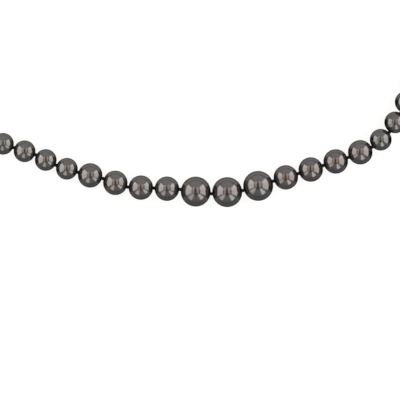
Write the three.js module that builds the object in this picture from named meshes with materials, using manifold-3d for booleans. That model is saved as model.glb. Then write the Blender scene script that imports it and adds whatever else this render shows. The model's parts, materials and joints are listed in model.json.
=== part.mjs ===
// A graduated strand of dark pearls, knotted on silk, with a lobster clasp.
// It lies unfastened on a flat surface, in a wide U with its largest pearl at the front.
// Millimetres, +Z up. The origin is under the middle of the necklace, on the surface it lies on.

import * as THREE from 'three';
import { mergeVertices } from 'three/addons/utils/BufferGeometryUtils.js';
import Module from 'manifold-3d';

const wasm = await Module();
wasm.setup();

// Pearls. The sizes step down from the centre pearl to the two ends.
const CENTRE_DIAMETER = 11;
const GRADUATION = [
  { count: 1, diameter: 11 },
  { count: 4, diameter: 9 },
  { count: 18, diameter: 8 },
];
const DRILL_RADIUS = 0.5;
const PEARL_SIDES = 12;
const PEARL_RINGS = 7;

// Silk and its knots. A knot stands in the gap between two pearls.
const THREAD_RADIUS = 0.35;
const THREAD_SIDES = 8;
const KNOT_RADIUS = 0.6;
const WIDE_GAP = 0.6;
const NARROW_GAP = 0.4;
const WIDE_GAP_FROM = 9;
const KNOT_CREST = 0.28;
const KNOT_FOOT = 0.42;

// The way each drill hole points, in degrees from +X, from the left end to the right end.
// The front is a free curve laid by hand, and each leg turns by the same step at every pearl.
const FRONT_HEADINGS = [-20, -18, -27, -18, -14, -19, -2, -3, -8, 6, 17, 17, 18, 18, 23, 41, 59, 66];
const LEFT_LEG = { count: 14, turn: 6 };
const RIGHT_LEG = { count: 15, turn: 3 };

// French wire, the coiled wire sleeve that guards the silk where it loops round a ring.
const SLEEVE_RADIUS = 0.45;
const SLEEVE_HALF_SIDES = 5;
const SLEEVE_STEPS = 28;
const SLEEVE_START = 0.4;
const SLEEVE_START_SPREAD = 0.58;
const LOOP_RADIUS = 1.3;
const LOOP_CENTRE = 3.4;
const LOOP_REACH = LOOP_CENTRE + LOOP_RADIUS;
const LOOP_POINTS = 5;

// Rings, which stand on edge: one joins the clasp to its loop, the other is what the clasp grips.
const JUMP_RING = { radius: 2.55, wire: 0.35, beyondLoop: 1.2 };
const END_RING = { radius: 2.8, wire: 0.4, beyondLoop: 1.4 };
const RING_SEGMENTS = 28;
const WIRE_SIDES = 10;

// Lobster clasp. Its own frame has the middle of its eye at the origin and +X towards its nose.
const CLASP_THICKNESS = 3;
const OUTLINE_STEPS = 2;
const EYE_OUTER = 2;
const EYE_INNER = 1.2;
const EYE_HALF_SIDES = 14;
const LEVER_THICKNESS = 0.9;
const SLOT_THICKNESS = 1.2;
const PIVOT = { x: 5.3, y: -1.5 };
const RIVET_RADIUS = 0.4;
const RIVET_HOLE_RADIUS = 0.47;
const RIVET_HEAD = 0.12;
const RIVET_RECESS = 0.05;
const RIVET_SIDES = 16;
const SPRING = { x: 3.72, y: -0.1, length: 0.92, radius: 0.3, wire: 0.08, turns: 3, stepsPerTurn: 12, halfSides: 3 };

const NACRE = { color: 0x3a3836, roughness: 0.22, metalness: 0 };
const SILK = { color: 0x161414, roughness: 0.9, metalness: 0 };
const WHITE_METAL = { color: 0xc9c9cc, roughness: 0.2, metalness: 1 };

const UP = new THREE.Vector3(0, 0, 1);

const necklace = new THREE.Group();

function addPiece(name, geometry, look, placement) {
  const piece = new THREE.Mesh(geometry, new THREE.MeshStandardMaterial(look));
  piece.name = name;
  if (placement) piece.applyMatrix4(placement);
  necklace.add(piece);
  return piece;
}

function twoDigits(number) {
  return String(number).padStart(2, '0');
}

// Solids for cutting and joining.

function toSolid(geometry) {
  const bare = geometry.clone();
  bare.deleteAttribute('normal');
  bare.deleteAttribute('uv');
  const merged = mergeVertices(bare, 1e-4);
  return new wasm.Manifold(
    new wasm.Mesh({
      numProp: 3,
      vertProperties: new Float32Array(merged.attributes.position.array),
      triVerts: new Uint32Array(merged.index.array),
    }),
  );
}

function toGeometry(solid) {
  const mesh = solid.getMesh();
  const geometry = new THREE.BufferGeometry();
  geometry.setAttribute('position', new THREE.BufferAttribute(mesh.vertProperties, 3));
  geometry.setIndex(new THREE.BufferAttribute(mesh.triVerts, 1));
  geometry.computeVertexNormals();
  return geometry;
}

// A flat plate of the given outline, centred on the clasp's mid height.
function plate(shape, thickness, curveSegments = OUTLINE_STEPS) {
  const geometry = new THREE.ExtrudeGeometry(shape, {
    depth: thickness,
    bevelEnabled: false,
    curveSegments,
  });
  return geometry.translate(0, 0, (CLASP_THICKNESS - thickness) / 2);
}

function disc(x, y, radius) {
  const shape = new THREE.Shape();
  shape.absarc(x, y, radius, 0, Math.PI * 2);
  return shape;
}

function polygon(corners) {
  return new THREE.Shape(corners.map(([x, y]) => new THREE.Vector2(x, y)));
}

// The route of the strand.

function pearlDiameters() {
  const side = GRADUATION.flatMap(({ count, diameter }) => Array(count).fill(diameter));
  return [...side.slice().reverse(), CENTRE_DIAMETER, ...side];
}

function drillHeadings() {
  const first = FRONT_HEADINGS[0];
  const last = FRONT_HEADINGS.at(-1);
  const left = Array.from({ length: LEFT_LEG.count }, (_, i) => first - LEFT_LEG.turn * (LEFT_LEG.count - i));
  const right = Array.from({ length: RIGHT_LEG.count }, (_, i) => last + RIGHT_LEG.turn * (i + 1));
  return [...left, ...FRONT_HEADINGS, ...right].map(THREE.MathUtils.degToRad);
}

function knotGap(diameter, nextDiameter) {
  return Math.min(diameter, nextDiameter) < WIDE_GAP_FROM ? NARROW_GAP : WIDE_GAP;
}

// Pearls and knots in order from the left end. Each pearl is threaded straight between its two
// knots, and a knot stands as high as the larger pearl beside it, so no pearl sinks below Z = 0.
function layStrand() {
  const diameters = pearlDiameters();
  const headings = drillHeadings();
  const inner = diameters.slice(1).map((diameter, i) => ({
    gap: knotGap(diameters[i], diameter),
    height: Math.max(diameters[i], diameter) / 2,
  }));
  const ends = [diameters[0], diameters.at(-1)].map((d) => ({ gap: knotGap(d, d), height: d / 2 }));
  const knots = [ends[0], ...inner, ends[1]];
  knots[0].position = new THREE.Vector3(0, 0, knots[0].height);
  const pearls = diameters.map((diameter, i) => {
    const before = knots[i];
    const after = knots[i + 1];
    const length = diameter + (before.gap + after.gap) / 2;
    const rise = after.height - before.height;
    const run = Math.sqrt(length * length - rise * rise);
    const step = new THREE.Vector3(run * Math.cos(headings[i]), run * Math.sin(headings[i]), rise);
    after.position = before.position.clone().add(step);
    const direction = step.normalize();
    const centre = before.position.clone().addScaledVector(direction, (diameter + before.gap) / 2);
    return { diameter, direction, centre };
  });
  return { pearls, knots };
}

// The matrix that turns a piece's +Y along a direction, with its +Z as near upright as it can be.
function along(direction, origin) {
  const side = new THREE.Vector3().crossVectors(direction, UP).normalize();
  const upright = new THREE.Vector3().crossVectors(side, direction);
  return new THREE.Matrix4().makeBasis(side, direction, upright).setPosition(origin);
}

// Pearls: a sphere with a straight hole drilled through it along Y. The sides lie flat against
// the sphere, with one of them underneath, so a pearl that lies on a surface doesn't roll.
function pearlGeometry(diameter) {
  const radius = diameter / 2;
  const pole = Math.asin(DRILL_RADIUS / radius);
  const halfSide = Math.PI / PEARL_SIDES;
  const arc = Array.from({ length: PEARL_RINGS }, (_, i) => {
    const angle = THREE.MathUtils.lerp(pole - Math.PI / 2, Math.PI / 2 - pole, i / (PEARL_RINGS - 1));
    return new THREE.Vector2((radius * Math.cos(angle)) / Math.cos(halfSide), radius * Math.sin(angle));
  });
  return new THREE.LatheGeometry([...arc, arc[0].clone()], PEARL_SIDES, halfSide);
}

// Silk: one cord from end knot to end knot, made as a long cylinder whose rings are moved on to
// the route, so that it swells at each knot.
function silkGeometry({ pearls, knots }) {
  const rings = knots.flatMap(({ position, gap }, i) => {
    const into = pearls[Math.max(i - 1, 0)].direction;
    const out = pearls[Math.min(i, pearls.length - 1)].direction;
    const direction = into.clone().add(out).normalize();
    const ring = (share, radius) => ({
      radius,
      direction,
      position: position.clone().addScaledVector(direction, share * gap),
    });
    return [
      ring(-KNOT_FOOT, THREAD_RADIUS),
      ring(-KNOT_CREST, KNOT_RADIUS),
      ring(KNOT_CREST, KNOT_RADIUS),
      ring(KNOT_FOOT, THREAD_RADIUS),
    ];
  });
  const last = rings.length - 1;
  const cord = new THREE.CylinderGeometry(1, 1, last, THREAD_SIDES, last);
  const place = new THREE.Vector3();
  const points = cord.attributes.position;
  for (let i = 0; i < points.count; i += 1) {
    place.fromBufferAttribute(points, i);
    const ring = rings[Math.round(place.y + last / 2)];
    place.set(place.x * ring.radius, 0, place.z * ring.radius);
    place.applyMatrix4(along(ring.direction, ring.position));
    points.setXYZ(i, place.x, place.y, place.z);
  }
  return cord;
}

// French wire: a sleeve bent into a narrow loop in its own X-Y plane, opening at the end knot.
function sleeveGeometry() {
  const at = (x, y) => new THREE.Vector3(x, y, 0);
  const leg = (way) => [
    at(SLEEVE_START, way * SLEEVE_START_SPREAD),
    at(LOOP_CENTRE / 2, way * LOOP_RADIUS),
    at(LOOP_CENTRE, way * LOOP_RADIUS),
  ];
  const turn = Array.from({ length: LOOP_POINTS }, (_, i) => {
    const angle = Math.PI / 2 - (Math.PI * (i + 1)) / (LOOP_POINTS + 1);
    return at(LOOP_CENTRE + LOOP_RADIUS * Math.cos(angle), LOOP_RADIUS * Math.sin(angle));
  });
  const route = new THREE.CatmullRomCurve3([...leg(1), ...turn, ...leg(-1).reverse()]);
  const section = new THREE.Shape();
  section.absarc(0, 0, SLEEVE_RADIUS, 0, Math.PI * 2);
  return new THREE.ExtrudeGeometry(section, {
    steps: SLEEVE_STEPS,
    curveSegments: SLEEVE_HALF_SIDES,
    extrudePath: route,
  });
}

// A ring of round wire standing on edge in the X-Z plane, with its lowest point at Z = 0.
function ringGeometry({ radius, wire }) {
  const ring = new THREE.TorusGeometry(radius, wire, WIRE_SIDES, RING_SEGMENTS);
  return ring.rotateX(Math.PI / 2).translate(0, 0, radius + wire);
}

// Clasp body: a hook with an eye behind it, slotted through the middle for the lever.
function hookShape() {
  const hook = new THREE.Shape();
  const outside = [[4.2, -2.45], [5.6, -2.75], [6.45, -2.35]];
  const opening = [[6.3, -0.3], [6.55, 0.6], [7.3, 1.2], [8.4, 1.35], [9.5, 0.95], [10.15, 0.05]];
  const noseInside = [[10.2, -1], [9.95, -1.95], [9.6, -2.5], [8.8, -2.65]];
  const noseOutside = [[9.7, -3.2], [10.7, -2.6], [11.4, -1.4], [11.6, 0]];
  const spine = [[11.1, 1.5], [9.8, 2.6], [8, 3], [6, 2.75], [4.2, 2.1], [2.4, 1.1]];
  const corners = (list) => list.map(([x, y]) => new THREE.Vector2(x, y));
  hook.moveTo(2.4, -1.1);
  hook.splineThru(corners(outside));
  hook.lineTo(6.45, -1);
  hook.splineThru(corners([...opening, ...noseInside]));
  hook.lineTo(8.8, -3.15);
  hook.splineThru(corners([...noseOutside, ...spine]));
  hook.closePath();
  return hook;
}

function claspBodyGeometry() {
  const eye = disc(0, 0, EYE_OUTER);
  eye.holes.push(disc(0, 0, EYE_INNER));
  const neck = polygon([[1.5, -0.9], [2.9, -1.2], [2.9, 1.2], [1.5, 0.9]]);
  const slot = polygon([[3.9, -3.6], [3.9, -1], [3.1, 0.8], [1.6, 2.6], [1.6, 4.4], [6.25, 4.4], [6.2, 1.6],
    [6.15, -0.9], [7.4, -1.2], [7.4, -3.6]]);
  const rivetHole = disc(PIVOT.x, PIVOT.y, RIVET_HOLE_RADIUS);
  const solid = toSolid(plate(hookShape(), CLASP_THICKNESS))
    .add(toSolid(plate(eye, LEVER_THICKNESS, EYE_HALF_SIDES)))
    .add(toSolid(plate(neck, LEVER_THICKNESS)))
    .subtract(toSolid(plate(slot, SLOT_THICKNESS)))
    .subtract(toSolid(plate(rivetHole, CLASP_THICKNESS + 1, RIVET_SIDES / 2)));
  return toGeometry(solid);
}

// Clasp lever: a gate that closes the mouth, and a thumb tab that comes out beside the spine.
function claspLeverGeometry() {
  const gate = [[4.95, -2.35], [5.6, -2.5], [7.2, -2.55], [9.3, -2.3], [9.42, -1.75], [7.5, -1.9], [6.35, -1.45]];
  const crossbar = [[5.8, -0.6], [5.65, 1.8], [5.8, 2.9]];
  const tab = [[5.95, 3.6], [5.55, 3.9], [5.05, 3.6], [4.95, 2.6]];
  const back = [[4.85, 0.4], [4.75, -0.6], [4.5, -1.5]];
  const lever = polygon([...gate, ...crossbar, ...tab, ...back]);
  lever.holes.push(disc(PIVOT.x, PIVOT.y, RIVET_HOLE_RADIUS));
  return plate(lever, LEVER_THICKNESS, RIVET_SIDES / 2);
}

// Clasp rivet: a pin through both cheeks and the lever, with a low domed head.
function claspRivetGeometry() {
  const top = CLASP_THICKNESS + RIVET_HEAD;
  const profile = [
    new THREE.Vector2(0, RIVET_RECESS),
    new THREE.Vector2(RIVET_RADIUS, RIVET_RECESS),
    new THREE.Vector2(RIVET_RADIUS, CLASP_THICKNESS),
    new THREE.Vector2(RIVET_RADIUS / 2, top),
    new THREE.Vector2(0, top),
  ];
  return new THREE.LatheGeometry(profile, RIVET_SIDES).rotateX(Math.PI / 2).translate(PIVOT.x, PIVOT.y, 0);
}

class Helix extends THREE.Curve {
  getPoint(share, target = new THREE.Vector3()) {
    const angle = share * SPRING.turns * Math.PI * 2;
    return target.set(
      SPRING.x + SPRING.length * share,
      SPRING.y + SPRING.radius * Math.cos(angle),
      CLASP_THICKNESS / 2 + SPRING.radius * Math.sin(angle),
    );
  }
}

// Clasp spring: a small coil that pushes the lever's crossbar forward and holds the gate shut.
function claspSpringGeometry() {
  const section = new THREE.Shape();
  section.absarc(0, 0, SPRING.wire, 0, Math.PI * 2);
  return new THREE.ExtrudeGeometry(section, {
    steps: SPRING.turns * SPRING.stepsPerTurn,
    curveSegments: SPRING.halfSides,
    extrudePath: new Helix(),
  });
}

// Turns a piece's +X along the strand's end, on the ground below the end knot.
function endPlacement(knot, outward, distance, height) {
  const level = new THREE.Vector3(outward.x, outward.y, 0).normalize();
  const side = new THREE.Vector3().crossVectors(UP, level);
  const origin = knot.position.clone().addScaledVector(level, distance).setZ(height);
  return new THREE.Matrix4().makeBasis(level, side, UP).setPosition(origin);
}

const strand = layStrand();
const { pearls, knots } = strand;

pearls.forEach(({ diameter, direction, centre }, i) => {
  addPiece(`pearl_${twoDigits(i + 1)}`, pearlGeometry(diameter), NACRE, along(direction, centre));
});
addPiece('silk_thread', silkGeometry(strand), SILK);

const leftKnot = knots[0];
const rightKnot = knots.at(-1);
const leftWay = pearls[0].direction.clone().negate();
const rightWay = pearls.at(-1).direction;
addPiece('french_wire_left', sleeveGeometry(), WHITE_METAL, endPlacement(leftKnot, leftWay, 0, leftKnot.height));
addPiece('french_wire_right', sleeveGeometry(), WHITE_METAL, endPlacement(rightKnot, rightWay, 0, rightKnot.height));

const endRingAt = LOOP_REACH + END_RING.beyondLoop;
const jumpRingAt = LOOP_REACH + JUMP_RING.beyondLoop;
addPiece('end_ring', ringGeometry(END_RING), WHITE_METAL, endPlacement(leftKnot, leftWay, endRingAt, 0));
addPiece('jump_ring', ringGeometry(JUMP_RING), WHITE_METAL, endPlacement(rightKnot, rightWay, jumpRingAt, 0));

// The clasp's eye hangs on the jump ring where the ring passes through the clasp's mid height.
const ringCentreHeight = JUMP_RING.radius + JUMP_RING.wire;
const eyeDrop = ringCentreHeight - CLASP_THICKNESS / 2;
const claspAt = jumpRingAt + Math.sqrt(JUMP_RING.radius ** 2 - eyeDrop ** 2);
const claspPlacement = endPlacement(rightKnot, rightWay, claspAt, 0);
addPiece('clasp_body', claspBodyGeometry(), WHITE_METAL, claspPlacement);
addPiece('clasp_lever', claspLeverGeometry(), WHITE_METAL, claspPlacement);
addPiece('clasp_rivet', claspRivetGeometry(), WHITE_METAL, claspPlacement);
addPiece('clasp_spring', claspSpringGeometry(), WHITE_METAL, claspPlacement);

// The origin goes to the middle of the necklace's footprint.
const box = new THREE.Box3().setFromObject(necklace, true);
const middle = box.getCenter(new THREE.Vector3());
necklace.position.set(-middle.x, -middle.y, -box.min.z);
necklace.updateMatrixWorld(true);

export default necklace;
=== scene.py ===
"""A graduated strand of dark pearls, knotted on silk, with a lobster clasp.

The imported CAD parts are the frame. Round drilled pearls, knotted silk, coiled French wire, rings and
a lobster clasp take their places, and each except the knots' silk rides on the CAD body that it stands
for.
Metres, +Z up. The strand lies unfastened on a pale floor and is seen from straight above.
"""

import json
import math

import bpy
from mathutils import Matrix, Vector, noise


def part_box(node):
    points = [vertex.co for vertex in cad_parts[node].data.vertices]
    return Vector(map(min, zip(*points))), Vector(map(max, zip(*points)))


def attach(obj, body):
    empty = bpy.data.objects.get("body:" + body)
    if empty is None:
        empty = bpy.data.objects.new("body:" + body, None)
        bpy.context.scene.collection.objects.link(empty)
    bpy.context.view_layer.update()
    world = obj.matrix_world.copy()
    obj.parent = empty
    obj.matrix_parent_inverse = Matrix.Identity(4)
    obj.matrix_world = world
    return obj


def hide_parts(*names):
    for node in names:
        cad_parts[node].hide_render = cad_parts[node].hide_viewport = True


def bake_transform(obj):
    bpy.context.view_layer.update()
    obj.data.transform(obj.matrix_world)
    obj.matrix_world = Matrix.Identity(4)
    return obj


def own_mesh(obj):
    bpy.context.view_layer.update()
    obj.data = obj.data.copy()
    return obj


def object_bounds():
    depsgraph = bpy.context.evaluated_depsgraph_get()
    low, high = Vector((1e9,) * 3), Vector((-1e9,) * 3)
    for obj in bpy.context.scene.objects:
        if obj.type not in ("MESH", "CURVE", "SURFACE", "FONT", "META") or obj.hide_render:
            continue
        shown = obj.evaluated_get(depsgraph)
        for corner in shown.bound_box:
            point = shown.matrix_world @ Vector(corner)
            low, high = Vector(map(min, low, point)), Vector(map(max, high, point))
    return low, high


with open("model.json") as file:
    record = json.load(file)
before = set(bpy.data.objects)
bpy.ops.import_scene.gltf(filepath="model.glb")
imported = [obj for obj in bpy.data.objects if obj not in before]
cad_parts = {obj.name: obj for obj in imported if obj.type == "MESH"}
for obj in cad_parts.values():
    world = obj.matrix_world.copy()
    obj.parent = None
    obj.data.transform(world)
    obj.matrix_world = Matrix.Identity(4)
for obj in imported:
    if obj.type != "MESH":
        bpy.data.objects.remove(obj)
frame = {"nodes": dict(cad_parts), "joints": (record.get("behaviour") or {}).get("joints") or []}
cad_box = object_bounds()

MM = 0.001
UP = Vector((0, 0, 1))

# Strand, with the sizes that the CAD parts have.
DRILL_RADIUS = 0.5 * MM
SILK_RADIUS = 0.33 * MM
SLEEVED_SILK_RADIUS = 0.25 * MM
SLEEVE_RADIUS = 0.45 * MM

# What the camera sees: its distance, the width of the view, and where it points from the centre pearl.
CAMERA_HEIGHT = 1.2
VIEW_WIDTH = 146.2 * MM
VIEW_CENTRE = Vector((-9.95, -2.87, 0)) * MM
SENSOR = 36 * MM


# Mesh tools ---------------------------------------------------------------------------------------


def make_object(name, points, faces, material):
    """A mesh object whose points are in the row frame."""
    mesh = bpy.data.meshes.new(name)
    mesh.from_pydata([tuple(p) for p in points], [], faces)
    mesh.polygons.foreach_set("use_smooth", [True] * len(mesh.polygons))
    mesh.materials.append(material)
    mesh.update()
    thing = bpy.data.objects.new(name, mesh)
    bpy.context.scene.collection.objects.link(thing)
    return thing


def along(direction, origin):
    """The matrix that turns +Y along a direction, with +Z as near upright as it can be."""
    forward = direction.normalized()
    side = forward.cross(UP).normalized()
    upright = side.cross(forward)
    turn = Matrix((side, forward, upright)).transposed().to_4x4()
    return Matrix.Translation(origin) @ turn


def ring_faces(rings, sides, closed_rings=False):
    """Quads between one ring of points and the next."""
    faces = []
    for i in range(rings if closed_rings else rings - 1):
        low = i * sides
        high = (i + 1) % rings * sides
        for k in range(sides):
            after = (k + 1) % sides
            faces.append((low + k, low + after, high + after, high + k))
    return faces


def lathe(profile, sides, closed=False):
    """Points and faces of a profile of (distance, height) pairs turned about +Y."""
    points = []
    for distance, height in profile:
        for k in range(sides):
            turn = 2 * math.pi * k / sides
            points.append(Vector((distance * math.sin(turn), height, distance * math.cos(turn))))
    return points, ring_faces(len(profile), sides, closed)


def carried_frames(route, closed=False):
    """A pair of directions across the route at each point, carried along it without twist."""
    count = len(route)
    tangents = []
    for i in range(count):
        before = route[i - 1] if closed or i else route[0]
        after = route[(i + 1) % count] if closed or i < count - 1 else route[-1]
        tangents.append((after - before).normalized())
    start = UP if abs(tangents[0].z) < 0.9 else Vector((1, 0, 0))
    across = tangents[0].cross(start).normalized()
    frames = []
    for tangent in tangents:
        across = (across - tangent * across.dot(tangent)).normalized()
        frames.append((across, tangent.cross(across)))
    return frames


def tube(route, radius, sides, closed=False):
    """Points and faces of a round tube along a route, with flat ends if it isn't closed."""
    points = []
    for centre, (across, upward) in zip(route, carried_frames(route, closed)):
        for k in range(sides):
            turn = 2 * math.pi * k / sides
            points.append(centre + radius * (math.cos(turn) * across + math.sin(turn) * upward))
    faces = ring_faces(len(route), sides, closed)
    if not closed:
        last = (len(route) - 1) * sides
        faces.append(tuple(reversed(range(sides))))
        faces.append(tuple(range(last, last + sides)))
    return points, faces


def smooth_route(corners, steps):
    """A Catmull-Rom curve through the corners, with so many steps between each two."""
    padded = [2 * corners[0] - corners[1], *corners, 2 * corners[-1] - corners[-2]]
    route = []
    for a, b, c, d in zip(padded, padded[1:], padded[2:], padded[3:]):
        slope = c - a
        square = 2 * a - 5 * b + 4 * c - d
        cube = 3 * b - a - 3 * c + d
        for k in range(steps):
            t = k / steps
            route.append(0.5 * (2 * b + slope * t + square * t**2 + cube * t**3))
    return [*route, corners[-1]]


# Materials ----------------------------------------------------------------------------------------


# Blender's noise lies mostly between these two values.
NOISE_LOW = 0.3
NOISE_HIGH = 0.7

# How many waves to a metre each layer of a material has.
NACRE_WAVES = {"tint": 95, "overtone": 55, "gloss": 240, "pits": 260, "broad": 420, "peel": 1500}
SILK_WAVES = {"tint": 5200, "ply": 9000}
METAL_WAVES = {"tint": 700, "haze": 1100, "hairlines": 9000}
FLOOR_WAVES = 12

# How clear the floor is under the strand, and between which distances from the origin it fades out.
FLOOR_CLEARNESS = 0.86
FLOOR_FADE_START = 0.12
FLOOR_FADE_END = 0.26


def set_stops(elements, stops):
    """Gives a new colour ramp its (place, colour) stops."""
    while len(elements) < len(stops):
        elements.new(0.5)
    for element, (place, colour) in zip(elements, stops):
        element.position = place
        element.color = (*colour, 1)


class Nodes:
    """A short way to write a node material."""

    def __init__(self, name):
        self.material = bpy.data.materials.new(name)
        self.material.use_nodes = True
        self.tree = self.material.node_tree
        self.tree.nodes.clear()
        self.shader = self.add("ShaderNodeBsdfPrincipled")
        self.output = self.add("ShaderNodeOutputMaterial")
        self.join(self.shader, "BSDF", self.output, "Surface")

    def add(self, kind, **settings):
        node = self.tree.nodes.new(kind)
        for key, value in settings.items():
            setattr(node, key, value)
        return node

    def join(self, source, output, target, socket):
        self.tree.links.new(source.outputs[output], target.inputs[socket])

    def set(self, **values):
        for key, value in values.items():
            self.shader.inputs[key.replace("_", " ")].default_value = value

    def object_place(self):
        return self.add("ShaderNodeTexCoord")

    def noise(self, scale, detail):
        """Noise in the object's own place, with so many waves to a metre."""
        node = self.add("ShaderNodeTexNoise")
        node.inputs["Scale"].default_value = scale
        node.inputs["Detail"].default_value = detail
        self.join(self.object_place(), "Object", node, "Vector")
        return node

    def ramp(self, source, output, stops):
        node = self.add("ShaderNodeValToRGB")
        set_stops(node.color_ramp.elements, stops)
        self.join(source, output, node, "Fac")
        return node

    def spread(self, source, output, low, high, socket):
        """Sends noise to a shader socket as a value from low to high."""
        node = self.add("ShaderNodeMapRange")
        node.inputs["From Min"].default_value = NOISE_LOW
        node.inputs["From Max"].default_value = NOISE_HIGH
        node.inputs["To Min"].default_value = low
        node.inputs["To Max"].default_value = high
        self.join(source, output, node, "Value")
        self.join(node, "Result", self.shader, socket)

    def bump(self, source, output, strength, distance, under=None):
        node = self.add("ShaderNodeBump")
        node.inputs["Strength"].default_value = strength
        node.inputs["Distance"].default_value = distance
        self.join(source, output, node, "Height")
        if under:
            self.join(under, "Normal", node, "Normal")
        return node


def nacre_material():
    """Dark nacre: near black with slate, green and brown tints, and a rose to green overtone."""
    nodes = Nodes("nacre")
    tint = nodes.ramp(
        nodes.noise(NACRE_WAVES["tint"], 1.5),
        "Fac",
        [
            (0.30, (0.0022, 0.0030, 0.0036)),
            (0.45, (0.0036, 0.0032, 0.0034)),
            (0.58, (0.0052, 0.0034, 0.0028)),
            (0.72, (0.0030, 0.0034, 0.0028)),
        ],
    )
    nodes.join(tint, "Color", nodes.shader, "Base Color")
    overtone = nodes.ramp(
        nodes.noise(NACRE_WAVES["overtone"], 1),
        "Fac",
        [(0.38, (1.0, 0.92, 0.91)), (0.50, (1.0, 0.96, 0.95)), (0.62, (0.94, 1.0, 0.96))],
    )
    nodes.join(overtone, "Color", nodes.shader, "Specular Tint")
    nodes.spread(nodes.noise(NACRE_WAVES["gloss"], 2), "Fac", 0.15, 0.22, "Roughness")
    pit_cells = nodes.add("ShaderNodeTexVoronoi")
    pit_cells.inputs["Scale"].default_value = NACRE_WAVES["pits"]
    nodes.join(nodes.object_place(), "Object", pit_cells, "Vector")
    pits = nodes.ramp(pit_cells, "Distance", [(0.0, (0, 0, 0)), (0.09, (1, 1, 1))])
    broad = nodes.bump(nodes.noise(NACRE_WAVES["broad"], 1), "Fac", 0.12, 0.1 * MM)
    peel = nodes.bump(nodes.noise(NACRE_WAVES["peel"], 2), "Fac", 0.10, 0.03 * MM, broad)
    pitted = nodes.bump(pits, "Color", 0.35, 0.06 * MM, peel)
    nodes.join(pitted, "Normal", nodes.shader, "Normal")
    nodes.set(IOR=1.75, Coat_Weight=0.25, Coat_Roughness=0.08, Coat_IOR=1.5)
    return nodes.material


def silk_material():
    """Black silk cord, with the fine lines of its ply."""
    nodes = Nodes("silk")
    tint = nodes.ramp(
        nodes.noise(SILK_WAVES["tint"], 2),
        "Fac",
        [(0.3, (0.003, 0.003, 0.003)), (0.7, (0.010, 0.009, 0.009))],
    )
    nodes.join(tint, "Color", nodes.shader, "Base Color")
    ply = nodes.bump(nodes.noise(SILK_WAVES["ply"], 2), "Fac", 0.6, 0.05 * MM)
    nodes.join(ply, "Normal", nodes.shader, "Normal")
    nodes.set(Roughness=0.8, Specular_IOR_Level=0.25, Sheen_Weight=0.04, Sheen_Roughness=0.4)
    return nodes.material


def metal_material():
    """Polished white gold, with faint hairlines and a little haze."""
    nodes = Nodes("white_metal")
    tint = nodes.ramp(
        nodes.noise(METAL_WAVES["tint"], 2),
        "Fac",
        [(0.3, (0.44, 0.425, 0.41)), (0.7, (0.50, 0.485, 0.47))],
    )
    nodes.join(tint, "Color", nodes.shader, "Base Color")
    nodes.spread(nodes.noise(METAL_WAVES["haze"], 3), "Fac", 0.16, 0.24, "Roughness")
    hairlines = nodes.bump(nodes.noise(METAL_WAVES["hairlines"], 2), "Fac", 0.04, 0.01 * MM)
    nodes.join(hairlines, "Normal", nodes.shader, "Normal")
    nodes.set(Metallic=1.0)
    return nodes.material


def floor_material():
    """Pale frosted acrylic: mostly clear, so what a pose takes below the level still shows through it.

    It grows fully clear towards its edges, so that they don't show against the backdrop.
    """
    nodes = Nodes("floor_acrylic")
    tint = nodes.ramp(
        nodes.noise(FLOOR_WAVES, 3),
        "Fac",
        [(0.3, (0.66, 0.66, 0.66)), (0.7, (0.70, 0.70, 0.70))],
    )
    nodes.join(tint, "Color", nodes.shader, "Base Color")
    nodes.set(Roughness=0.6)
    clear = nodes.add("ShaderNodeBsdfTransparent")
    mix = nodes.add("ShaderNodeMixShader")
    distance = nodes.add("ShaderNodeVectorMath", operation="LENGTH")
    nodes.join(nodes.object_place(), "Object", distance, "Vector")
    clearness = nodes.add("ShaderNodeMapRange")
    clearness.inputs["From Min"].default_value = FLOOR_FADE_START
    clearness.inputs["From Max"].default_value = FLOOR_FADE_END
    clearness.inputs["To Min"].default_value = FLOOR_CLEARNESS
    nodes.join(distance, "Value", clearness, "Value")
    nodes.join(clearness, "Result", mix, "Fac")
    nodes.tree.links.new(nodes.shader.outputs["BSDF"], mix.inputs[1])
    nodes.tree.links.new(clear.outputs["BSDF"], mix.inputs[2])
    nodes.join(mix, "Shader", nodes.output, "Surface")
    return nodes.material


NACRE = nacre_material()
SILK = silk_material()
METAL = metal_material()
ACRYLIC = floor_material()


# The strand, read from the frame ------------------------------------------------------------------

places = {joint["name"]: Vector(joint["pos_m"]) for joint in frame["joints"]}


def knot_places():
    """Every knot in order, from the left end knot to the right end knot."""
    inner = sorted(name for name in places if name.startswith("knot_"))
    return [places["left_loop_lift"], *(places[name] for name in inner), places["right_loop_sideways"]]


class Pearl:
    """One pearl of the frame: its name, size, place and the way its hole points."""

    def __init__(self, name, knot_before, knot_after):
        low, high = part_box(name)
        self.name = name
        self.radius = round(high.z - low.z, 4) / 2
        self.centre = (low + high) / 2
        self.direction = (knot_after - knot_before).normalized()


knots = knot_places()
pearl_names = sorted(name for name in frame["nodes"] if name.startswith("pearl_"))
pearls = [Pearl(name, knots[i], knots[i + 1]) for i, name in enumerate(pearl_names)]


# Pearls -------------------------------------------------------------------------------------------

PEARL_SIDES = 64
PEARL_ARC_POINTS = 37
LIP_RADIUS = 0.14 * MM
LIP_POINTS = 6
OFF_ROUND = 0.007
OFF_ROUND_SCALE = 130
DIMPLE = 0.0012
DIMPLE_SCALE = 620


def pearl_profile(radius):
    """The section of a drilled pearl, with a rounded lip at both mouths of its hole."""
    lip_distance = DRILL_RADIUS + LIP_RADIUS
    lip_height = math.sqrt((radius - LIP_RADIUS) ** 2 - lip_distance**2)
    edge = math.atan2(lip_height, lip_distance)
    outside = []
    for k in range(PEARL_ARC_POINTS):
        latitude = edge * (2 * k / (PEARL_ARC_POINTS - 1) - 1)
        outside.append((radius * math.cos(latitude), radius * math.sin(latitude)))
    lip = []
    for k in range(1, LIP_POINTS + 1):
        turn = edge + (math.pi - edge) * k / LIP_POINTS
        lip.append((lip_distance + LIP_RADIUS * math.cos(turn), lip_height + LIP_RADIUS * math.sin(turn)))
    other_lip = [(distance, -height) for distance, height in reversed(lip)]
    return [*outside, *lip, *other_lip]


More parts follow.
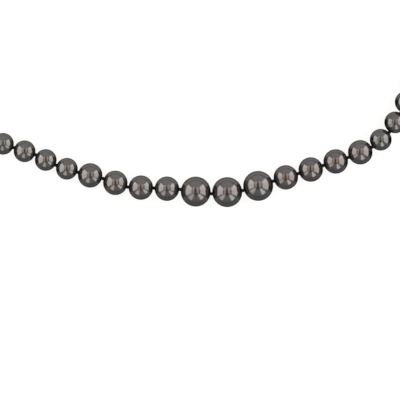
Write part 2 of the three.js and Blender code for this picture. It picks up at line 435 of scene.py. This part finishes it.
def off_round(point, pearl):
    """How far out a point of the pearl's skin really stands, as a share of its radius."""
    swell = OFF_ROUND * noise.noise(point * OFF_ROUND_SCALE) + DIMPLE * noise.noise(point * DIMPLE_SCALE)
    from_hole = (point - pearl.centre).cross(pearl.direction).length / pearl.radius
    return 1 + swell * min(1, 2 * from_hole) - OFF_ROUND / 2


def make_pearl(pearl):
    points, faces = lathe(pearl_profile(pearl.radius), PEARL_SIDES, closed=True)
    placement = along(pearl.direction, pearl.centre)
    skin = []
    for point in points:
        spot = placement @ point
        skin.append(pearl.centre + (spot - pearl.centre) * off_round(spot, pearl))
    thing = make_object(pearl.name + "_nacre", skin, faces, NACRE)
    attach(thing, pearl.name)
    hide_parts(pearl.name)


for pearl in pearls:
    make_pearl(pearl)


# Silk ---------------------------------------------------------------------------------------------

SILK_SIDES = 10
KNOT_STEPS = 44
KNOT_TURN = 2.0
KNOT_SPREAD = 0.17 * MM
KNOT_DEPTH = 0.011 * MM
TAIL_START = 0.42 * MM
TAIL_STEPS = 6


def overhand_knot():
    """A tight overhand knot about +Y, as the polynomial curve of a trefoil pulled out at both ends."""
    route = []
    for k in range(KNOT_STEPS + 1):
        t = KNOT_TURN * (2 * k / KNOT_STEPS - 1)
        x = (t**4 - 4 * t**2 + 2) * KNOT_SPREAD
        y = (t**5 - 10 * t) * KNOT_DEPTH
        z = (t**3 - 3 * t) * KNOT_SPREAD
        route.append(Vector((x, y, z)))
    return route


def tail(knot, far):
    """Straight silk from beside a knot to the middle of the next pearl."""
    start = knot + (far - knot).normalized() * TAIL_START
    return [start.lerp(far, k / TAIL_STEPS) for k in range(TAIL_STEPS + 1)]


def silk_route(knot, before, after):
    """Silk from one point to another by way of a knot."""
    placement = along((after - knot).normalized() + (knot - before).normalized(), knot)
    middle = [placement @ point for point in overhand_knot()]
    return [*reversed(tail(knot, before)), *middle, *tail(knot, after)]


def make_silk(name, route, radius=SILK_RADIUS):
    points, faces = tube(route, radius, SILK_SIDES)
    thing = make_object(name, points, faces, SILK)
    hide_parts("silk_thread")
    return thing


def make_knot(number, left, right):
    """The knot between two pearls."""
    knot = knots[number]
    silk = make_silk(f"silk_knot_{number:02d}", silk_route(knot, left.centre, right.centre))
    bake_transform(silk)


for number, (left, right) in enumerate(zip(pearls, pearls[1:]), start=1):
    make_knot(number, left, right)


# Ends: French wire, rings -------------------------------------------------------------------------

LOOP_RADIUS = 1.3 * MM
LOOP_CENTRE = 3.4 * MM
SLEEVE_START = 0.4 * MM
SLEEVE_START_SPREAD = 0.58 * MM
LOOP_POINTS = 5
LOOP_STEPS = 6
END_TAIL = 0.6 * MM
COIL_WIRE = 0.085 * MM
COIL_PITCH = 0.19 * MM
COIL_STEPS = 14
COIL_SIDES = 6
RING_STEPS = 96
RING_SIDES = 20
SEAM_DEPTH = 0.04 * MM
END_RING_WIRE = 0.4 * MM
JUMP_RING_WIRE = 0.35 * MM


def end_frame(knot, outward, height):
    """The matrix that turns +X level along the strand's end, with its origin beside the end knot."""
    level = Vector((outward.x, outward.y, 0)).normalized()
    side = UP.cross(level)
    turn = Matrix((level, side, UP)).transposed().to_4x4()
    return Matrix.Translation(Vector((knot.x, knot.y, height))) @ turn


def loop_corners():
    """The narrow loop of French wire, in its own X-Y plane."""
    leg = [
        (SLEEVE_START, SLEEVE_START_SPREAD),
        (LOOP_CENTRE / 2, LOOP_RADIUS),
        (LOOP_CENTRE, LOOP_RADIUS),
    ]
    turn = []
    for k in range(1, LOOP_POINTS + 1):
        angle = math.pi / 2 - math.pi * k / (LOOP_POINTS + 1)
        turn.append((LOOP_CENTRE + LOOP_RADIUS * math.cos(angle), LOOP_RADIUS * math.sin(angle)))
    back = [(x, -y) for x, y in reversed(leg)]
    return [Vector((x, y, 0)) for x, y in [*leg, *turn, *back]]


def coil_route(route, radius, pitch, steps):
    """A helix wound round a route."""
    frames = carried_frames(route)
    lengths = [0]
    for a, b in zip(route, route[1:]):
        lengths.append(lengths[-1] + (b - a).length)
    turns = round(lengths[-1] / pitch)
    wound = []
    segment = 0
    for k in range(turns * steps + 1):
        distance = lengths[-1] * k / (turns * steps)
        while segment < len(route) - 2 and lengths[segment + 1] < distance:
            segment += 1
        share = (distance - lengths[segment]) / (lengths[segment + 1] - lengths[segment])
        centre = route[segment].lerp(route[segment + 1], share)
        across = frames[segment][0].lerp(frames[segment + 1][0], share).normalized()
        upward = frames[segment][1].lerp(frames[segment + 1][1], share).normalized()
        turn = 2 * math.pi * k / steps
        wound.append(centre + radius * (math.cos(turn) * across + math.sin(turn) * upward))
    return wound


def make_loop(side, knot, outward, pearl):
    """The silk's end loop in its coiled sleeve, and the silk from the last pearl to it."""
    body = f"french_wire_{side}"
    placement = end_frame(knot, outward, knot.z)
    route = [placement @ point for point in smooth_route(loop_corners(), LOOP_STEPS)]
    coil = coil_route(route, SLEEVE_RADIUS - COIL_WIRE, COIL_PITCH, COIL_STEPS)
    points, faces = tube(coil, COIL_WIRE, COIL_SIDES)
    sleeve = make_object(f"{body}_coil", points, faces, METAL)
    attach(sleeve, body)
    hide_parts(body)
    inner = make_silk(f"silk_loop_{side}", [knot, *route, knot], SLEEVED_SILK_RADIUS)
    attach(inner, body)
    last = make_silk(f"silk_end_{side}", silk_route(knot, pearl.centre, knot + outward * END_TAIL))
    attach(last, pearl.name)


def make_ring(node, body, wire):
    """A ring of round wire standing on edge, with the fine seam where its ends meet."""
    low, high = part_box(node)
    centre = (low + high) / 2
    radius = (high.z - low.z) / 2 - wire
    level = places[f"{node}_swing"] - centre
    level.z = 0
    level.normalize()
    points = []
    for k in range(RING_STEPS):
        turn = 2 * math.pi * (k + 0.5) / RING_STEPS
        outward = level * math.cos(turn) + UP * math.sin(turn)
        seam = SEAM_DEPTH if k in (0, RING_STEPS - 1) else 0
        for m in range(RING_SIDES):
            round_wire = 2 * math.pi * m / RING_SIDES
            beside = level.cross(UP) * math.sin(round_wire) + outward * math.cos(round_wire)
            points.append(centre + outward * radius + beside * (wire - seam))
    ring = make_object(f"{node}_wire", points, ring_faces(RING_STEPS, RING_SIDES, True), METAL)
    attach(ring, body)
    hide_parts(node)


make_loop("left", knots[0], -pearls[0].direction, pearls[0])
make_loop("right", knots[-1], pearls[-1].direction, pearls[-1])
make_ring("end_ring", "end_ring", END_RING_WIRE)
make_ring("jump_ring", "jump_ring", JUMP_RING_WIRE)


# Clasp --------------------------------------------------------------------------------------------
# Its own frame has the middle of its eye at the origin, +X towards its nose and Z = 0 underneath.

CLASP_THICKNESS = 3 * MM
CLASP_GRAIN = 0.09 * MM
CLASP_SMOOTHING = 30
OUTLINE_STEPS = 6
EYE_RADIUS = 1.6 * MM
EYE_WIRE = 0.43 * MM
EYE_STEPS = 48
EYE_SIDES = 16
NECK_CORNERS = [(1.55, -0.85), (2.9, -1.2), (2.9, 1.2), (1.55, 0.85)]
LEVER_THICKNESS = 0.9 * MM
LEVER_GRAIN = 0.06 * MM
LEVER_SMOOTHING = 7
SLOT_THICKNESS = 1.2 * MM
PIVOT = Vector((5.3, -1.5, 0)) * MM
RIVET_RADIUS = 0.4 * MM
RIVET_HOLE_RADIUS = 0.47 * MM
RIVET_HEAD = 0.12 * MM
RIVET_RECESS = 0.05 * MM
RIVET_CHAMFER = 0.85
RIVET_DOME_STEPS = 6
RIVET_SIDES = 32
SPRING_START = Vector((3.72, -0.1, 1.5)) * MM
SPRING_LENGTH = 0.92 * MM
SPRING_RADIUS = 0.3 * MM
SPRING_WIRE = 0.08 * MM
SPRING_TURNS = 3
SPRING_STEPS = 24
SPRING_SIDES = 10
SHARP_ANGLE = math.radians(40)
WELD_DISTANCE = 0.001 * MM


def millimetres(corners):
    return [Vector((x, y, 0)) * MM for x, y in corners]


def hook_outline():
    """The hook: its belly, its mouth, its nose and its spine."""
    belly = [(2.4, -1.1), (4.2, -2.45), (5.6, -2.75), (6.45, -2.35)]
    opening = [(6.45, -1), (6.3, -0.3), (6.55, 0.6), (7.3, 1.2), (8.4, 1.35), (9.5, 0.95), (10.15, 0.05)]
    nose_inside = [(10.2, -1), (9.95, -1.95), (9.6, -2.5), (8.8, -2.65)]
    nose_outside = [(8.8, -3.15), (9.7, -3.2), (10.7, -2.6), (11.4, -1.4), (11.6, 0)]
    spine = [(11.1, 1.5), (9.8, 2.6), (8, 3), (6, 2.75), (4.2, 2.1), (2.4, 1.1)]
    outline = []
    for stretch in (belly, opening + nose_inside, nose_outside + spine):
        outline += smooth_route(millimetres(stretch), OUTLINE_STEPS)
    return outline


def lever_outline():
    """The lever: a gate that closes the mouth, a crossbar, a thumb tab and its back."""
    gate_outside = [(4.95, -2.35), (5.6, -2.5), (7.2, -2.55), (9.3, -2.3)]
    gate_inside = [(9.42, -1.75), (7.5, -1.9), (6.35, -1.45)]
    crossbar = [(5.8, -0.6), (5.65, 1.8), (5.8, 2.9)]
    tab = [(5.95, 3.6), (5.55, 3.9), (5.05, 3.6), (4.95, 2.6)]
    back = [(4.85, 0.4), (4.75, -0.6), (4.5, -1.5)]
    outline = []
    for stretch in (gate_outside + gate_inside, crossbar + tab + back):
        outline += smooth_route(millimetres(stretch), OUTLINE_STEPS // 2)
    return outline


def slot_outline():
    """The slot between the cheeks: open below for the gate, and above for the thumb tab."""
    rear = [(3.9, -3.6), (3.9, -1), (3.1, 0.8), (1.6, 2.6), (1.6, 4.4)]
    front = [(6.25, 4.4), (6.2, 1.6), (6.15, -0.9), (7.4, -1.2), (7.4, -3.6)]
    return millimetres(rear + front)


def rivet_hole():
    """What is cut away for the rivet, right through."""
    return plate("hole", circle(PIVOT, RIVET_HOLE_RADIUS, RIVET_SIDES), 2 * CLASP_THICKNESS)


def circle(centre, radius, sides):
    """Points anticlockwise round a centre."""
    turns = [2 * math.pi * k / sides for k in range(sides)]
    return [centre + radius * Vector((math.cos(turn), math.sin(turn), 0)) for turn in turns]


def winding(outline):
    """More than 0 for an outline that runs anticlockwise."""
    return sum(a.x * b.y - b.x * a.y for a, b in zip(outline, outline[1:] + outline[:1]))


def plate(name, outline, thickness):
    """A flat plate of an outline, at the clasp's mid height."""
    if winding(outline) < 0:
        outline = outline[::-1]
    count = len(outline)
    low = (CLASP_THICKNESS - thickness) / 2
    points = [point + UP * height for height in (low, low + thickness) for point in outline]
    faces = ring_faces(2, count)
    faces.append(tuple(reversed(range(count))))
    faces.append(tuple(range(count, 2 * count)))
    return make_object(name, points, faces, METAL)


def apply_modifiers(thing):
    """Makes the result of an object's modifiers its own mesh."""
    shown = thing.evaluated_get(bpy.context.evaluated_depsgraph_get())
    thing.data = bpy.data.meshes.new_from_object(shown)
    thing.modifiers.clear()


def combine(thing, other, operation):
    """Joins another object on to one, or cuts it away, and removes the other."""
    modifier = thing.modifiers.new(operation.lower(), "BOOLEAN")
    modifier.operation = operation
    modifier.solver = "EXACT"
    modifier.object = other
    apply_modifiers(thing)
    bpy.data.objects.remove(other)


def weld(thing):
    """Joins the points that meet at the poles of a turned shape."""
    modifier = thing.modifiers.new("weld", "WELD")
    modifier.merge_threshold = WELD_DISTANCE
    apply_modifiers(thing)


def polish(thing, grain, passes):
    """Rounds every edge as tumbling rounds a casting: an even mesh of the given grain, then smoothed."""
    even = thing.modifiers.new("even", "REMESH")
    even.mode = "VOXEL"
    even.voxel_size = grain
    smooth = thing.modifiers.new("smooth", "SMOOTH")
    smooth.factor = 0.5
    smooth.iterations = passes
    apply_modifiers(thing)


def finish_clasp_piece(thing, body, node, placement):
    """Smooths a piece, puts it in its place and says what it stands for."""
    thing.data.transform(placement)
    thing.data.polygons.foreach_set("use_smooth", [True] * len(thing.data.polygons))
    thing.data.set_sharp_from_angle(angle=SHARP_ANGLE)
    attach(thing, body)
    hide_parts(node)


def make_clasp_body(placement):
    body = plate("clasp_hook", hook_outline(), CLASP_THICKNESS)
    middle = UP * CLASP_THICKNESS / 2
    eye_route = [point + middle for point in circle(Vector((0, 0, 0)), EYE_RADIUS, EYE_STEPS)]
    eye = make_object("eye", *tube(eye_route, EYE_WIRE, EYE_SIDES, closed=True), METAL)
    combine(body, eye, "UNION")
    combine(body, plate("neck", millimetres(NECK_CORNERS), LEVER_THICKNESS), "UNION")
    polish(body, CLASP_GRAIN, CLASP_SMOOTHING)
    combine(body, plate("slot", slot_outline(), SLOT_THICKNESS), "DIFFERENCE")
    combine(body, rivet_hole(), "DIFFERENCE")
    finish_clasp_piece(body, "clasp", "clasp_body", placement)


def make_lever(placement):
    lever = plate("clasp_gate", lever_outline(), LEVER_THICKNESS)
    polish(lever, LEVER_GRAIN, LEVER_SMOOTHING)
    combine(lever, rivet_hole(), "DIFFERENCE")
    finish_clasp_piece(lever, "clasp_lever", "clasp_lever", placement)


def rivet_profile():
    """The section of the pin: a flat chamfered foot and a low domed head."""
    flat = RIVET_RADIUS * RIVET_CHAMFER
    foot = [(0, RIVET_RECESS), (flat, RIVET_RECESS), (RIVET_RADIUS, 2 * RIVET_RECESS)]
    head = []
    for k in range(RIVET_DOME_STEPS + 1):
        turn = math.pi / 2 * k / RIVET_DOME_STEPS
        head.append((RIVET_RADIUS * math.cos(turn), CLASP_THICKNESS + RIVET_HEAD * math.sin(turn)))
    return foot + head


def make_rivet(placement):
    """A pin through both cheeks."""
    points, faces = lathe(rivet_profile(), RIVET_SIDES)
    upright = Matrix.Translation(PIVOT) @ Matrix.Rotation(math.pi / 2, 4, "X")
    rivet = make_object("clasp_pin", [upright @ point for point in points], faces, METAL)
    weld(rivet)
    finish_clasp_piece(rivet, "clasp", "clasp_rivet", placement)


def make_spring(placement):
    """A small coil between the body and the back of the lever."""
    route = []
    for k in range(SPRING_TURNS * SPRING_STEPS + 1):
        share = k / (SPRING_TURNS * SPRING_STEPS)
        turn = 2 * math.pi * SPRING_TURNS * share
        across = Vector((0, math.cos(turn), math.sin(turn)))
        route.append(SPRING_START + Vector((SPRING_LENGTH * share, 0, 0)) + SPRING_RADIUS * across)
    spring = make_object("clasp_coil", *tube(route, SPRING_WIRE, SPRING_SIDES), METAL)
    finish_clasp_piece(spring, "clasp", "clasp_spring", placement)
    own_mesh(spring)


def make_clasp():
    """The clasp lies on the floor beyond the jump ring, with its pivot where its joint is."""
    base = end_frame(knots[-1], pearls[-1].direction, 0).to_3x3().to_4x4()
    joint = places["clasp_lever_pivot"]
    pivot = Vector((joint.x, joint.y, cad_box[0].z))
    placement = Matrix.Translation(pivot - base @ PIVOT) @ base
    make_clasp_body(placement)
    make_lever(placement)
    make_rivet(placement)
    make_spring(placement)


make_clasp()


# Camera, floor and light --------------------------------------------------------------------------

FLOOR_HALF_WIDTH = 0.27

centre_pearl = pearls[len(pearls) // 2]


def make_camera():
    camera = bpy.data.cameras.new("camera")
    camera.sensor_width = SENSOR / MM
    camera.lens = SENSOR / MM * CAMERA_HEIGHT / VIEW_WIDTH
    thing = bpy.data.objects.new("camera", camera)
    thing.location = centre_pearl.centre + VIEW_CENTRE + UP * CAMERA_HEIGHT
    bpy.context.scene.collection.objects.link(thing)
    bpy.context.scene.camera = thing


def make_floor():
    """A pale level sheet under the strand, large enough for its edges to have faded out."""
    half = FLOOR_HALF_WIDTH
    corners = [(-half, -half, 0), (half, -half, 0), (half, half, 0), (-half, half, 0)]
    floor = make_object("floor", corners, [(0, 1, 2, 3)], ACRYLIC)
    floor.visible_glossy = False


# Places are in metres from the centre pearl, and each pair is where a panel starts and ends.
# Two warm softboxes stand left and right, and a dim cool wall stands behind.
BOX_DISTANCE = 0.28
BOX_HEIGHTS = (0.029, 0.43)
BOX_DEPTHS = {"left": (-0.112, 0.25), "right": (-0.112, 0.305)}
BOX_RADIANCE = 4.3
WARM = (1.0, 0.955, 0.915)
WALL_DISTANCE = 0.45
WALL_HALF_WIDTH = 0.3
WALL_HEIGHTS = (0.006, 0.78)
WALL_RADIANCE = 0.35
COOL = (0.85, 0.98, 1.15)

# Two small reflectors stand close in front, left and right, turned to the centre pearl.
REFLECTOR_HALF_WIDTH = 0.03
REFLECTOR_HEIGHTS = (0.026, 0.264)
REFLECTORS = {
    "left": (Vector((-0.089, -0.092, 0)), 2.9, (1.0, 0.88, 0.81)),
    "right": (Vector((0.086, -0.1, 0)), 4.0, WARM),
}

# Two copper-toned cards hang overhead, with a slit between them.
CARD_HEIGHT = 0.65
CARD_WIDTHS = {"left": (-0.33, -0.122), "right": (0.062, 0.295)}
CARD_DEPTHS = (-0.14, 0.47)
CARD_RADIANCE = 2.75
COPPER = (1.0, 0.8, 0.63)


def middle_of(stretch):
    return (stretch[0] + stretch[1]) / 2


def length_of(stretch):
    return stretch[1] - stretch[0]


def panel(name, centre, forward, upright, width, height, radiance, colour):
    """A rectangle of soft light that shines forward."""
    light = bpy.data.lights.new(name, "AREA")
    light.shape = "RECTANGLE"
    light.size = width
    light.size_y = height
    light.energy = radiance * math.pi * width * height
    light.color = colour
    thing = bpy.data.objects.new(name, light)
    side = forward.cross(upright)
    turn = Matrix((side, upright, -forward)).transposed().to_4x4()
    thing.matrix_world = Matrix.Translation(centre) @ turn
    thing.visible_camera = False
    bpy.context.scene.collection.objects.link(thing)


def standing_panel(name, place, inward, width, heights, radiance, colour):
    """An upright panel at a place in plan, over a stretch of heights."""
    centre = centre_pearl.centre + place + UP * middle_of(heights)
    panel(name, centre, inward.normalized(), UP, width, length_of(heights), radiance, colour)


def hanging_card(name, widths):
    """A level copper-toned card overhead that shines down."""
    centre = centre_pearl.centre + Vector((middle_of(widths), middle_of(CARD_DEPTHS), CARD_HEIGHT))
    back = Vector((0, 1, 0))
    panel(name, centre, -UP, back, length_of(widths), length_of(CARD_DEPTHS), CARD_RADIANCE, COPPER)


def make_lights():
    for side, name in ((-1, "left"), (1, "right")):
        depths = BOX_DEPTHS[name]
        place = Vector((side * BOX_DISTANCE, middle_of(depths), 0))
        inward = Vector((-side, 0, 0))
        standing_panel(f"box_{name}", place, inward, length_of(depths), BOX_HEIGHTS, BOX_RADIANCE, WARM)
        place, radiance, colour = REFLECTORS[name]
        width = 2 * REFLECTOR_HALF_WIDTH
        standing_panel(f"reflector_{name}", place, -place, width, REFLECTOR_HEIGHTS, radiance, colour)
        hanging_card(f"card_{name}", CARD_WIDTHS[name])
    place = Vector((0, WALL_DISTANCE, 0))
    standing_panel("wall", place, -place, 2 * WALL_HALF_WIDTH, WALL_HEIGHTS, WALL_RADIANCE, COOL)


# The room in front and the room behind, as (height of the direction, radiance) from straight down to
# straight up. A pearl's rim shows the part below the level: a thin light line of distant ground, and
# dark round it.
ROOM_FRONT = [
    (-1.00, (0.03, 0.03, 0.03)),
    (-0.80, (0.13, 0.13, 0.13)),
    (-0.58, (0.23, 0.23, 0.23)),
    (-0.46, (0.50, 0.50, 0.50)),
    (-0.32, (0.47, 0.47, 0.47)),
    (-0.20, (0.33, 0.33, 0.33)),
    (0.00, (0.52, 0.52, 0.53)),
    (0.12, (0.72, 0.72, 0.74)),
    (0.50, (0.90, 0.91, 0.94)),
    (0.70, (1.03, 1.04, 1.07)),
    (0.82, (0.85, 0.85, 0.85)),
    (0.92, (0.14, 0.14, 0.14)),
    (0.97, (0.03, 0.03, 0.03)),
]
ROOM_BACK = [
    (-1.00, (0.05, 0.05, 0.05)),
    (-0.80, (0.40, 0.36, 0.33)),
    (-0.58, (0.56, 0.52, 0.48)),
    (-0.46, (1.22, 1.14, 1.06)),
    (-0.32, (1.25, 1.17, 1.08)),
    (-0.20, (0.95, 0.90, 0.85)),
    (0.00, (0.90, 0.87, 0.84)),
    (0.12, (1.10, 1.06, 1.04)),
    (0.50, (1.22, 1.15, 1.13)),
    (0.70, (1.10, 1.07, 1.05)),
    (0.82, (0.75, 0.74, 0.74)),
    (0.92, (0.78, 0.76, 0.74)),
    (0.98, (0.35, 0.34, 0.33)),
    (1.00, (0.20, 0.20, 0.20)),
]

# The room darkens towards both sides, between these shares of a direction's level part that point
# along X. BACKDROP is what the camera itself sees.
ROOM_SIDE_START = 0.86
ROOM_SIDE_END = 0.985
BACKDROP = (1, 1, 1, 1)


def room_colour(add, link, direction):
    """The room's colour in a direction, from the front and the back ramp."""
    split = add("ShaderNodeSeparateXYZ")
    link(direction, split.inputs["Vector"])
    height = add("ShaderNodeMapRange")
    height.inputs["From Min"].default_value = -1
    link(split.outputs["Z"], height.inputs["Value"])
    depth = add("ShaderNodeMapRange")
    depth.inputs["From Min"].default_value = -1
    link(split.outputs["Y"], depth.inputs["Value"])
    both = add("ShaderNodeMixRGB")
    link(depth.outputs["Result"], both.inputs["Fac"])
    for part, socket in ((ROOM_FRONT, "Color1"), (ROOM_BACK, "Color2")):
        ramp = add("ShaderNodeValToRGB")
        set_stops(ramp.color_ramp.elements, [((rise + 1) / 2, radiance) for rise, radiance in part])
        link(height.outputs["Result"], ramp.inputs["Fac"])
        link(ramp.outputs["Color"], both.inputs[socket])
    return both.outputs["Color"]


def side_shade(add, link, direction):
    """1 in front and behind, down to 0 at both sides."""
    levelled = add("ShaderNodeVectorMath")
    levelled.operation = "MULTIPLY"
    levelled.inputs[1].default_value = (1, 1, 0)
    link(direction, levelled.inputs[0])
    bearing = add("ShaderNodeVectorMath")
    bearing.operation = "NORMALIZE"
    link(levelled.outputs["Vector"], bearing.inputs[0])
    split = add("ShaderNodeSeparateXYZ")
    link(bearing.outputs["Vector"], split.inputs["Vector"])
    from_middle = add("ShaderNodeMath")
    from_middle.operation = "ABSOLUTE"
    link(split.outputs["X"], from_middle.inputs[0])
    shade = add("ShaderNodeMapRange")
    shade.inputs["From Min"].default_value = ROOM_SIDE_START
    shade.inputs["From Max"].default_value = ROOM_SIDE_END
    shade.inputs["To Min"].default_value = 1
    shade.inputs["To Max"].default_value = 0
    link(from_middle.outputs["Value"], shade.inputs["Value"])
    return shade.outputs["Result"]


def make_world():
    """A dim room that the pearls mirror: brown at the back, grey in front, dark at both sides.

    The camera sees a plain pale backdrop instead.
    """
    world = bpy.data.worlds.new("studio")
    world.use_nodes = True
    tree = world.node_tree
    tree.nodes.clear()
    add = tree.nodes.new
    link = tree.links.new
    direction = add("ShaderNodeTexCoord").outputs["Generated"]
    room = add("ShaderNodeBackground")
    link(room_colour(add, link, direction), room.inputs["Color"])
    link(side_shade(add, link, direction), room.inputs["Strength"])
    plain = add("ShaderNodeBackground")
    plain.inputs["Color"].default_value = BACKDROP
    path = add("ShaderNodeLightPath")
    mix = add("ShaderNodeMixShader")
    link(path.outputs["Is Camera Ray"], mix.inputs["Fac"])
    link(room.outputs["Background"], mix.inputs[1])
    link(plain.outputs["Background"], mix.inputs[2])
    output = add("ShaderNodeOutputWorld")
    link(mix.outputs["Shader"], output.inputs["Surface"])
    bpy.context.scene.world = world


make_camera()
make_floor()
make_lights()
make_world()
bpy.context.scene.view_settings.view_transform = "Standard"
